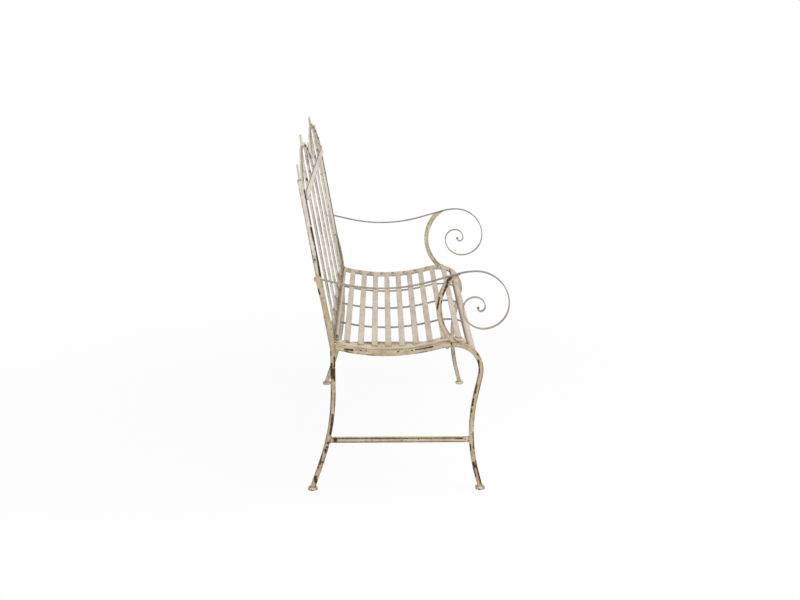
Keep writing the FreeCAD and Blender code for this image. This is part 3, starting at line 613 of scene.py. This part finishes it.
# %% Finishes for each group
UPWARD, INWARD, ALONG_SEAT, ALONG_BARS = (60, 60, 22), (60, 18, 60), (9, 120, 120), (110, 110, 9)
ROUND_ARM, ROUND_ARCH, ROUND_FOOT = (60, 20, 30), (40, 40, 40), (90, 90, 90)
WORN_BELOW, ARM_HIGHLIGHT_BELOW = 0.405, 0.61
LIVERY = {
    "leg_near": old_paint("leg_paint_near", (212, 197, 170), (184, 163, 130), (150, 128, 98), UPWARD,
                          0.40, 1.9, 0.0068, 0.85, clean_above=WORN_BELOW, seams_and_shadows=leg_seams),
    "leg_far": old_paint("leg_paint_far", (214, 204, 185), (190, 175, 148), (158, 141, 115), UPWARD,
                         0.34, 1.9, 0.0064, 0.55, seams_and_shadows=far_rust_and_shadow),
    "rail": old_paint("rail_paint", (220, 206, 181), (192, 172, 141), (158, 137, 108), INWARD,
                      0.38, 1.8, 0.0060, 0.75, seams_and_shadows=rail_seams + far_rust_and_shadow),
    "side_bar": old_paint("side_bar_paint", (220, 206, 181), (194, 175, 144), (162, 141, 112), INWARD,
                          0.36, 1.8, 0.0050, 0.40, seams_and_shadows=rail_seams + far_rust_and_shadow),
    "plate": old_paint("plate_paint", (228, 218, 199), (204, 190, 165), (168, 149, 122), INWARD,
                       0.30, 1.9, 0.0050, 0.5, seams_and_shadows=far_rust_and_shadow, stains_and_shade=plate_shadow_and_dark),
    "post": old_paint("post_paint", (220, 207, 183), (192, 173, 142), (160, 140, 112), UPWARD,
                      0.36, 1.9, 0.0056, 0.45, seams_and_shadows=post_seams),
    # Arm paint: grey that is partly painted shade, with a painted highlight low down.
    "arm": old_paint("arm_paint", (160, 152, 140), (138, 129, 116), (114, 104, 90), ROUND_ARM,
                     0.30, 1.8, 0.0020, 0.3, highlight_below=ARM_HIGHLIGHT_BELOW),
    "slat": old_paint("slat_paint", (214, 204, 189), (194, 179, 159), (172, 159, 142), ALONG_SEAT,
                      0.28, 1.5, 0.0030, 0.4, seams_and_shadows=slat_seams, stains_and_shade=slat_shade),
    "front_bar": old_paint("front_bar_paint", (214, 204, 189), (194, 179, 159), (172, 159, 142), ALONG_SEAT,
                           0.28, 1.5, 0.0030, 0.4, stains_and_shade=front_bar_shade_lines),
    "back": old_paint("back_paint", (234, 227, 215), (216, 206, 189), (178, 164, 144), ALONG_BARS,
                      0.34, 1.7, 0.0050, 0.85, 0.75, seams_and_shadows=bar_rust_and_shadow),
    "arch": old_paint("arch_paint", (232, 225, 213), (214, 204, 187), (176, 162, 142), ROUND_ARCH,
                      0.34, 1.8, 0.0050, 0.80, 0.5, seams_and_shadows=arch_seams, stains_and_shade=arch_shade_lines),
    "band": old_paint("band_paint", (232, 225, 213), (214, 204, 187), (178, 164, 144), ALONG_SEAT,
                      0.34, 1.7, 0.0050, 0.6, seams_and_shadows=bar_rust_and_shadow, stains_and_shade=band_edge_shade_lines),
    "upright": old_paint("upright_paint", (238, 233, 224), (222, 213, 199), (186, 175, 158), ALONG_BARS,
                         0.36, 1.8, 0.0060, 0.7, seams_and_shadows=upright_seams),
    # Bottom rail paint: dark with dirt and with painted shade.
    "back_rail": old_paint("back_rail_paint", (166, 153, 134), (138, 123, 102), (108, 94, 76), ALONG_SEAT,
                           0.46, 2.4, 0.0050, 0.5, seams_and_shadows=back_rail_seams),
    # Rod paint: grey as painted shade, the shadow under the slats.
    "rod": old_paint("rod_paint", (172, 164, 151), (142, 133, 120), (112, 103, 90), INWARD,
                     0.30, 2.0, 0.0015, 0.4),
    "foot": old_paint("foot_paint", (232, 222, 206), (194, 177, 152), (134, 114, 90), ROUND_FOOT,
                      0.40, 3.0, 0.0030, 0.6, seams_and_shadows=foot_seams, stains_and_shade=foot_stains),
}
print(len(LIVERY), "finishes")

# %% [markdown]
# The finishes go onto the solids by name. A list of all fifty would be long, so a table holds the start of
# a name for each group, and where two starts fit, the longer one holds.

# %% Paint the solids
WEARS = {
    "rear_leg_right": "leg_near", "front_leg_right": "leg_near", "back_bolts": "leg_near",
    "rear_leg_left": "leg_far", "front_leg_left": "leg_far", "stretcher": "rail",
    "seat_side_bar": "side_bar", "seat_end_plate": "plate", "arm_support": "post", "arm": "arm",
    "seat_slat": "slat", "seat_front_bar": "front_bar", "seat_cross_rod": "rod", "foot": "foot",
    "back_upright": "upright", "back_cap_nuts": "upright", "back_bottom_rail": "back_rail",
    "back_bar": "back", "back_band": "band", "back_arch": "arch", "finial": "arch",
}


def longest_start(node, table):
    """The value whose key is the longest start of the node's name, or None."""
    starts = [key for key in table if node.startswith(key)]
    return table[max(starts, key=len)] if starts else None


for node, solid in solids.items():
    solid.data.materials.clear()
    solid.data.materials.append(LIVERY[longest_start(node, WEARS)])
print(len(LIVERY), "finishes on", len(solids), "solids")

# %% [markdown]
# No bar on the bench has a knife edge: the rolling mill leaves a small radius and the paint rounds it
# further. Modelling that in every solid would be slow, so each solid keeps its shape and carries
# modifiers: one joins the corners that the file format split, one rounds the edges, and one keeps the
# flat faces looking flat.

# %% Soft edges
EDGE_ROUNDING = {
    "seat_slat": 0.0006, "arm_support": 0.0009, "arm": 0.0005, "finial": 0.0004, "back_bolts": 0.0003,
    "back_cap_nuts": 0.0003, "foot": 0.0003, "seat_cross_rod": 0.0006, "back_b": 0.0007, "back_arch": 0.0007,
}
PLAIN_ROUNDING = 0.0011
SAME_CORNER, SHARP_EDGE = 0.00001, math.radians(40)


def soften(solid, width):
    join = solid.modifiers.new("join_corners", "WELD")
    join.merge_threshold = SAME_CORNER
    rounding = solid.modifiers.new("round_edges", "BEVEL")
    rounding.width = width
    rounding.segments = 2
    rounding.limit_method = "ANGLE"
    rounding.angle_limit = SHARP_EDGE
    flatten = solid.modifiers.new("keep_faces_flat", "WEIGHTED_NORMAL")
    flatten.keep_sharp = False


for node, solid in solids.items():
    soften(solid, longest_start(node, EDGE_ROUNDING) or PLAIN_ROUNDING)
print(len(solids), "solids softened")

# %% [markdown]
# The bars are welded, and the welder left the beads as they were: short lumpy worms in the corners,
# painted over with the rest. A bead could be a row of spheres, but a tube whose radius swells and shrinks
# along its length looks more like metal that was laid down in drops.

# %% Weld beads
BEAD_SPOKES, RING_STEP, LEAST_RINGS = 8, 0.45, 5
END_ROUNDING, DROP_DIP, DROPS_TO_RADIUS = 0.04, 0.14, 1.4
LUMPS, LUMP_SIZE = 0.22, 0.7
luck = random.Random(7)


def lay_bead(mesh, start, end, radius):
    """A lumpy closed tube from start to end, half sunk in the corner that it fills."""
    start, end = Vector(start), Vector(end)
    run = end - start
    forward = run.normalized()
    side = forward.orthogonal().normalized()
    other = forward.cross(side)
    rings = max(LEAST_RINGS, int(run.length / (radius * RING_STEP)))
    shift = luck.uniform(0, 100)
    loops = []
    for number in range(rings + 1):
        share = number / rings
        rounded = math.sqrt(max(END_ROUNDING, 1 - (2 * share - 1) ** 4))
        drop = abs(math.sin(share * run.length / radius * DROPS_TO_RADIUS + shift))
        swell = 1 - DROP_DIP + DROP_DIP * drop
        middle = start + run * share
        loop = []
        for spoke in range(BEAD_SPOKES):
            angle = spoke * math.tau / BEAD_SPOKES
            outward = side * math.cos(angle) + other * math.sin(angle)
            grain = (middle + outward * radius) / radius * LUMP_SIZE + Vector((shift, 0, 0))
            lump = 1 + LUMPS * noise.noise(grain)
            loop.append(mesh.verts.new(middle + outward * radius * rounded * swell * lump))
        loops.append(loop)
    for near, far in zip(loops, loops[1:]):
        for spoke in range(BEAD_SPOKES):
            after = (spoke + 1) % BEAD_SPOKES
            mesh.faces.new((near[spoke], near[after], far[after], far[spoke]))
    mesh.faces.new(loops[0][::-1])
    mesh.faces.new(loops[-1])


print("a bead has", BEAD_SPOKES, "sides")

# %% [markdown]
# Some bars stand in a ring of four beads. When all the beads of a group are laid, they become one piece of
# the bench: smooth, in the paint of the bars round them, and riding on the same body.

# %% Rings of beads, and beads as a piece
RING_CORNERS = [(-1, -1), (1, -1), (1, 1), (-1, 1)]


def lay_ring(mesh, middle, across, onward, half, radius):
    """Four beads round a square bar that stands at middle."""
    points = [middle + across * (a * half) + onward * (b * half) for a, b in RING_CORNERS]
    for first, second in zip(points, points[1:] + points[:1]):
        lay_bead(mesh, first, second, radius)


def finish_beads(mesh, name, material):
    bmesh.ops.recalc_face_normals(mesh, faces=mesh.faces)
    for face in mesh.faces:
        face.smooth = True
    data = bpy.data.meshes.new(name)
    mesh.to_mesh(data)
    mesh.free()
    data.materials.append(material)
    beads = bpy.data.objects.new(name, data)
    scene.collection.objects.link(beads)
    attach(beads, "root")
    print(name, len(data.polygons), "faces")


print("a ring has", len(RING_CORNERS), "beads")

# %% [markdown]
# On each side frame the beads lie across the bar, in the corners where one bar runs into another: at the
# stretcher, at both ends of the seat's side bar, at the arm and its post, and round each leg on its foot.
# A row is a place in the side view and a radius. The stretcher's beads start from its own corners.

# %% Beads on the side frames
BEAD_OUTER, BEAD_INNER = 0.5162, 0.5038
LEG_RING, LEG_BEAD = 0.0076, 0.0024
FRAME_BEADS = [
    (0.1957, 0.4428, 0.0026), (0.1949, 0.4275, 0.0030), (-0.1400, 0.4478, 0.0016), (-0.1253, 0.4330, 0.0058),
    (0.2339, 0.6352, 0.0030), (0.2334, 0.6312, 0.0032), (-0.1590, 0.4487, 0.0030), (-0.1366, 0.4487, 0.0026),
    (-0.1590, 0.6462, 0.0022), (-0.1284, 0.6381, 0.0032),
]
for hand, sign in (("right", -1), ("left", 1)):
    frame_welds = bmesh.new()
    low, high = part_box(f"stretcher_{hand}")
    stretcher_beads = [
        (high.y - 0.0030, high.z + 0.0003, 0.0030), (high.y, low.z - 0.0003, 0.0028),
        (low.y + 0.0005, high.z + 0.0003, 0.0028), (low.y + 0.0002, low.z - 0.0003, 0.0028),
    ]
    for y, z, radius in FRAME_BEADS + stretcher_beads:
        lay_bead(frame_welds, (sign * BEAD_OUTER, y, z), (sign * BEAD_INNER, y, z), radius)
    for end in ("rear", "front"):
        low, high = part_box(f"foot_{end}_{hand}")
        middle = (low + high) / 2
        middle.z = high.z
        lay_ring(frame_welds, middle, Vector((1, 0, 0)), Vector((0, 1, 0)), LEG_RING, LEG_BEAD)
    paint = LIVERY["leg_near" if sign < 0 else "leg_far"]
    finish_beads(frame_welds, f"side_welds_{hand}", paint)

# %% [markdown]
# The slats are welded down to the end plates and to the three rods below them, and the plate to the leg at
# each rear corner. Each bead follows the tilt of its slat, which changes as the seat dips, so the slat's box
# gives both of its lower edges.

# %% Beads on the seat
PLATE_EDGE, SLAT_END, SLAT_BEAD_END = 0.461, 0.477, 0.476
ROD_PLACES, ROD_BEAD_HALF = (-0.253, -0.016, 0.221), 0.003
SEAT_LOW_Y, SLAT_THICK = 0.0480, 0.003
SLAT_BEAD, ROD_BEAD, END_BEAD, CORNER_BEAD = 0.0016, 0.0015, 0.0014, 0.0034
CORNER_OUTER, CORNER_INNER = (0.5040, 0.1940, 0.4465), (0.4890, 0.1940, 0.4470)
seat_welds = bmesh.new()
for low, high in slat_boxes:
    climbing = low.y + high.y > 2 * SEAT_LOW_Y
    front = Vector((0, low.y, low.z if climbing else high.z - SLAT_THICK))
    rear = Vector((0, high.y, high.z - SLAT_THICK if climbing else low.z))
    for edge in (front, rear):
        for sign in (-1, 1):
            along = Vector((sign, 0, 0))
            lay_bead(seat_welds, edge + along * PLATE_EDGE, edge + along * SLAT_BEAD_END, SLAT_BEAD)
        for x in ROD_PLACES:
            ends = [edge + Vector((x + side * ROD_BEAD_HALF, 0, 0)) for side in (-1, 1)]
            lay_bead(seat_welds, *ends, ROD_BEAD)
    for sign in (-1, 1):
        end = Vector((sign * SLAT_END, 0, 0))
        lay_bead(seat_welds, end + front.lerp(rear, 0.1), end + front.lerp(rear, 0.9), END_BEAD)
for sign in (-1, 1):
    ends = [(sign * x, y, z) for x, y, z in (CORNER_OUTER, CORNER_INNER)]
    lay_bead(seat_welds, *ends, CORNER_BEAD)
finish_beads(seat_welds, "seat_welds", LIVERY["slat"])

# %% [markdown]
# The back is welded up flat before it is bolted on: thin bars to the bottom rail, to the band and to the
# arches above it, and the rail, the band and the arches to the uprights. Most of its beads run through the
# panel from front to rear, so they need only a place along it and a level.

# %% Beads on the back
RAIL_TOP, RAIL_LOW, SPRING_LOW, SPRING_HIGH = 0.035, 0.021, 0.4685, 0.4797
RAIL_LIFT, ARCH_SLOPE = 0.0002, 0.0012
RAIL_END, ARCH_INNER_END, ARCH_OUTER_END, BAND_ENDS = 0.4887, 0.0043, 0.4886, (0.489, 0.5025)
BAR_FOOT_BEAD, RAIL_BEAD, ARCH_BEAD, BAND_BEAD = 0.0019, 0.0022, 0.0018, 0.0017
back_welds = bmesh.new()


def front_to_rear(x, level, radius):
    lay_bead(back_welds, on_panel(x, BACK_FRONT, level), on_panel(x, BARS_REAR, level), radius)


def across_band(places, level):
    lay_bead(back_welds, *[on_panel(x, BACK_FRONT, level) for x in places], BAND_BEAD)


for x in BAR_PLACES:
    for side in (-1, 1):
        front_to_rear(x + side * BAR_HALF, RAIL_TOP + RAIL_LIFT, BAR_FOOT_BEAD)
        if x:
            front_to_rear(x + side * BAR_HALF, ARCH_LEVEL + ARCH_SLOPE * side, ARCH_BEAD)
    for level in BAND_EDGES:
        across_band((x - BAR_HALF, x + BAR_HALF), level)
for sign in (-1, 1):
    for level in (RAIL_LOW, RAIL_TOP):
        front_to_rear(sign * RAIL_END, level, RAIL_BEAD)
    for level in (SPRING_LOW, SPRING_HIGH):
        front_to_rear(sign * ARCH_INNER_END, level, ARCH_BEAD)
        front_to_rear(sign * ARCH_OUTER_END, level, ARCH_BEAD)
    for level in BAND_EDGES:
        across_band([sign * x for x in BAND_ENDS], level)
finish_beads(back_welds, "back_welds", LIVERY["back"])

# %% [markdown]
# Above the arm each rear leg ends in a rough knob, hammered or built up with weld and then painted. A ball
# that noise has pushed out of true does for it, flattened to the width of the leg.

# %% Knobs on the rear legs
SIDE_MIDDLE = 0.510
KNOB_PLACE, KNOB_RADIUS, KNOB_FLAT = (0.2452, 0.6340), 0.0082, 0.92
KNOB_LUMPS, KNOB_LUMP_SIZE, KNOB_SHIFT = 0.10, 1.3, 40
for hand, sign in (("right", -1), ("left", 1)):
    knob = bmesh.new()
    bmesh.ops.create_icosphere(knob, subdivisions=3, radius=KNOB_RADIUS)
    middle = Vector((sign * SIDE_MIDDLE, *KNOB_PLACE))
    for corner in knob.verts:
        grain = corner.co / KNOB_RADIUS * KNOB_LUMP_SIZE + middle * KNOB_SHIFT
        corner.co *= 1 + KNOB_LUMPS * noise.noise(grain)
        corner.co.x *= KNOB_FLAT
        corner.co += middle
    finish_beads(knob, f"leg_knob_{hand}", LIVERY["slat"])

# %% [markdown]
# The smith turned the very end of each arm strip into a tight eye before winding the scroll. It is a short
# roll as wide as the strip, in the dark paint of the bottom rail. Two rings of corners, with faces between
# them and over both ends, are enough for something so small.

# %% Scroll eyes
EYE_PLACE, EYE_RADIUS, EYE_HALF, EYE_SPOKES = (-0.2126, 0.5476), 0.0034, 0.0058, 20
for hand, sign in (("right", -1), ("left", 1)):
    eye = bmesh.new()
    for ring in (-1, 1):
        middle = Vector((sign * SIDE_MIDDLE + ring * EYE_HALF, *EYE_PLACE))
        for spoke in range(EYE_SPOKES):
            angle = spoke * math.tau / EYE_SPOKES
            eye.verts.new(middle + Vector((0, math.cos(angle), math.sin(angle))) * EYE_RADIUS)
    corners = list(eye.verts)
    first_ring, second_ring = corners[:EYE_SPOKES], corners[EYE_SPOKES:]
    for spoke in range(EYE_SPOKES):
        after = (spoke + 1) % EYE_SPOKES
        eye.faces.new((first_ring[spoke], first_ring[after], second_ring[after], second_ring[spoke]))
    eye.faces.new(first_ring)
    eye.faces.new(second_ring[::-1])
    finish_beads(eye, f"scroll_eye_{hand}", LIVERY["back_rail"])

# %% [markdown]
# The bench stands on a pale floor that runs out into white. A floor that is bright enough to look white would
# throw its light back up at the bench, so the camera is shown a white glow, also by way of gloss or glass,
# while the light itself meets a plain matt floor. Near the bench a little of the matt floor shows through,
# and with it the soft shadow under the feet.

# %% Floor
FLOOR_HALF, FLOOR_DROP = 14.0, 0.0004
FLOOR_PALE, WHITE = (0.93, 0.93, 0.93, 1), (1, 1, 1, 1)
GLOW_NEAR, GLOW_GAIN, GLOW_FADE = 0.92, 0.08, (0.6, 2.6)


def seen_directly(finish):
    """1 for what the camera sees, also by way of gloss or glass, and 0 for light on its way to the bench."""
    names = ("Is Camera Ray", "Is Glossy Ray", "Is Transmission Ray")
    camera_ray, glossy_ray, through_ray = [finish.node("ShaderNodeLightPath", {}, {}, name) for name in names]
    return camera_ray.greater(glossy_ray).greater(through_ray)


floor_mesh = bmesh.new()
bmesh.ops.create_grid(floor_mesh, x_segments=8, y_segments=8, size=FLOOR_HALF)
floor_data = bpy.data.meshes.new("studio_floor")
floor_mesh.to_mesh(floor_data)
floor_mesh.free()
floor = bpy.data.objects.new("studio_floor", floor_data)
floor.location.z = -FLOOR_DROP
scene.collection.objects.link(floor)

floor_finish = Finish(bpy.data.materials.new("floor_white"))
floor_place = floor_finish.node("ShaderNodeTexCoord", {}, {}, "Object")
far_off = floor_finish.measure("LENGTH", floor_place, (0, 0, 0)).step(*GLOW_FADE)
glow_share = seen_directly(floor_finish) * (GLOW_NEAR + GLOW_GAIN * far_off)
matt = floor_finish.node("ShaderNodeBsdfDiffuse", {}, {"Color": FLOOR_PALE})
glow = floor_finish.node("ShaderNodeEmission", {}, {"Color": WHITE, "Strength": 1.0})
floor_mix = floor_finish.node("ShaderNodeMixShader", {}, {0: glow_share, 1: matt, 2: glow})
floor_finish.node("ShaderNodeOutputMaterial", {}, {0: floor_mix})
floor_data.materials.append(floor_finish.owner)
print("floor", tuple(round(v, 1) for v in floor.dimensions))

# %% [markdown]
# The light is that of a cloudy sky, with two wide lamps, one over the front of the seat and one beside the
# camera. A single bright lamp would be simpler, but thin bars need soft light from several sides, or half of
# each one goes black. The sky is white behind the bench, and lights it at half that strength.

# %% Sky and lamps
SKY_LIGHT = 0.5

sky = Finish(bpy.data.worlds.new("studio_sky"))
scene.world = sky.owner
backdrop = sky.node("ShaderNodeBackground", {}, {"Color": WHITE, "Strength": 1.0})
daylight = sky.node("ShaderNodeBackground", {}, {"Color": WHITE, "Strength": SKY_LIGHT})
sky_mix = sky.node("ShaderNodeMixShader", {}, {0: seen_directly(sky), 1: daylight, 2: backdrop})
sky.node("ShaderNodeOutputWorld", {}, {0: sky_mix})


def hang_lamp(name, place, target, width, power):
    lamp = bpy.data.lights.new(name, "AREA")
    lamp.shape = "SQUARE"
    lamp.size = width
    lamp.energy = power
    held = bpy.data.objects.new(name, lamp)
    held.location = place
    held.rotation_mode = "QUATERNION"
    held.rotation_quaternion = (Vector(target) - Vector(place)).to_track_quat("-Z", "Y")
    scene.collection.objects.link(held)


hang_lamp("lamp_over_seat", (-0.8, -1.6, 3.0), (0, 0, 0.4), 2.2, 55)
hang_lamp("lamp_beside_camera", (-3.2, 0.9, 1.9), (0, 0, 0.45), 1.6, 22)
scene.view_settings.view_transform = "Standard"
print("sky and", len(bpy.data.lights), "lamps")
